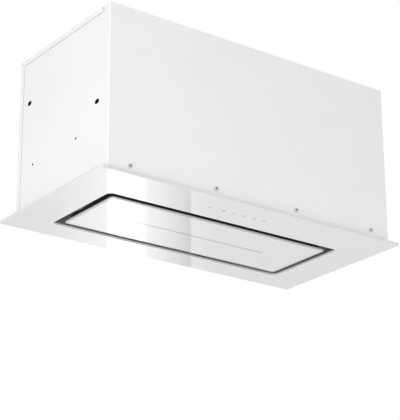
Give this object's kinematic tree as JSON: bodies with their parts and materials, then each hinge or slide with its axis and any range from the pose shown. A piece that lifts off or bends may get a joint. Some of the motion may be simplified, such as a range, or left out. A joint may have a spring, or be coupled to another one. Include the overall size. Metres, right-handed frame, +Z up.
{
  "type": "ceiling range hood",
  "caption": "Built-in ceiling range hood: glass plate with a perimeter suction slot and hinged inner panel under a sheet-metal housing with blower, grease filter and top duct outlet.",
  "frame": {"origin": "middle of the glass plate's underside", "axes": "+X along the hood's length, +Y away from the side with the touch marks, +Z up"},
  "size_m": [0.7, 0.35, 0.379],
  "materials": {
    "white_paint": "fine powder coat",
    "white_glass": "polished, painted white behind",
    "tape": "matt",
    "tray_steel": "satin",
    "zinc_steel": "bright zinc",
    "magnet": "plated",
    "aluminium": "mill finish",
    "grey_plastic": "moulded",
    "opal": "opal",
    "board": "solder mask",
    "dark_plastic": "moulded",
    "wheel_plastic": "moulded",
    "motor_metal": "cast",
    "box_plastic": "moulded",
    "can": "moulded"
  },
  "bodies": {
    "housing": {"front_shell": "white_paint", "top_panel": "white_paint", "back_panel": "white_paint", "base_frame": "tray_steel", "glass_tape": "tape", "glass_frame": "white_glass", "hinge_brackets": "zinc_steel", "hinge_pins": "zinc_steel", "catch_arms": "zinc_steel", "catch_magnets": "magnet", "filter_frame": "aluminium", "filter_mesh": "aluminium", "filter_shelf": "zinc_steel", "latch_bezel": "grey_plastic", "blower_half_left": "dark_plastic", "blower_half_right": "dark_plastic", "motor": "motor_metal", "motor_bracket": "zinc_steel", "outlet_collar": "dark_plastic", "damper_pin": "zinc_steel", "control_box": "box_plastic", "control_box_lid": "box_plastic", "control_board": "board", "capacitor": "can", "cable_gland": "dark_plastic", "touch_board": "board", "touch_cover": "dark_plastic"},
    "panel": {"panel_glass": "white_glass", "panel_tray": "tray_steel", "led_profile": "aluminium", "led_board": "board", "led_diffuser": "opal", "hinge_knuckles": "grey_plastic", "strike_plates": "zinc_steel"},
    "rotor": {"impeller": "wheel_plastic", "motor_shaft": "zinc_steel"},
    "flap_left": {"damper_flap_left": "dark_plastic"},
    "flap_right": {"damper_flap_right": "dark_plastic"},
    "latch": {"latch_slider": "grey_plastic"}
  },
  "joints": [
    {"name": "panel_hinge", "type": "hinge", "parent": "housing", "child": "panel", "pos_m": [0, 0.098, 0.015], "axis": [1, 0, 0], "range_deg": [0, 88]},
    {"name": "rotor_spin", "type": "hinge", "parent": "housing", "child": "rotor", "pos_m": [0, -0.0505, 0.173], "axis": [1, 0, 0], "continuous": true},
    {"name": "flap_left_hinge", "type": "hinge", "parent": "housing", "child": "flap_left", "pos_m": [0, 0.0255, 0.347], "axis": [0, 1, 0], "range_deg": [0, 80]},
    {"name": "flap_right_hinge", "type": "hinge", "parent": "housing", "child": "flap_right", "pos_m": [0, 0.0255, 0.347], "axis": [0, -1, 0], "range_deg": [0, 80]},
    {"name": "latch_slide", "type": "slide", "parent": "housing", "child": "latch", "axis": [0, 1, 0], "range_m": [0, 0.006], "stiffness_N_per_m": 200}
  ]
}
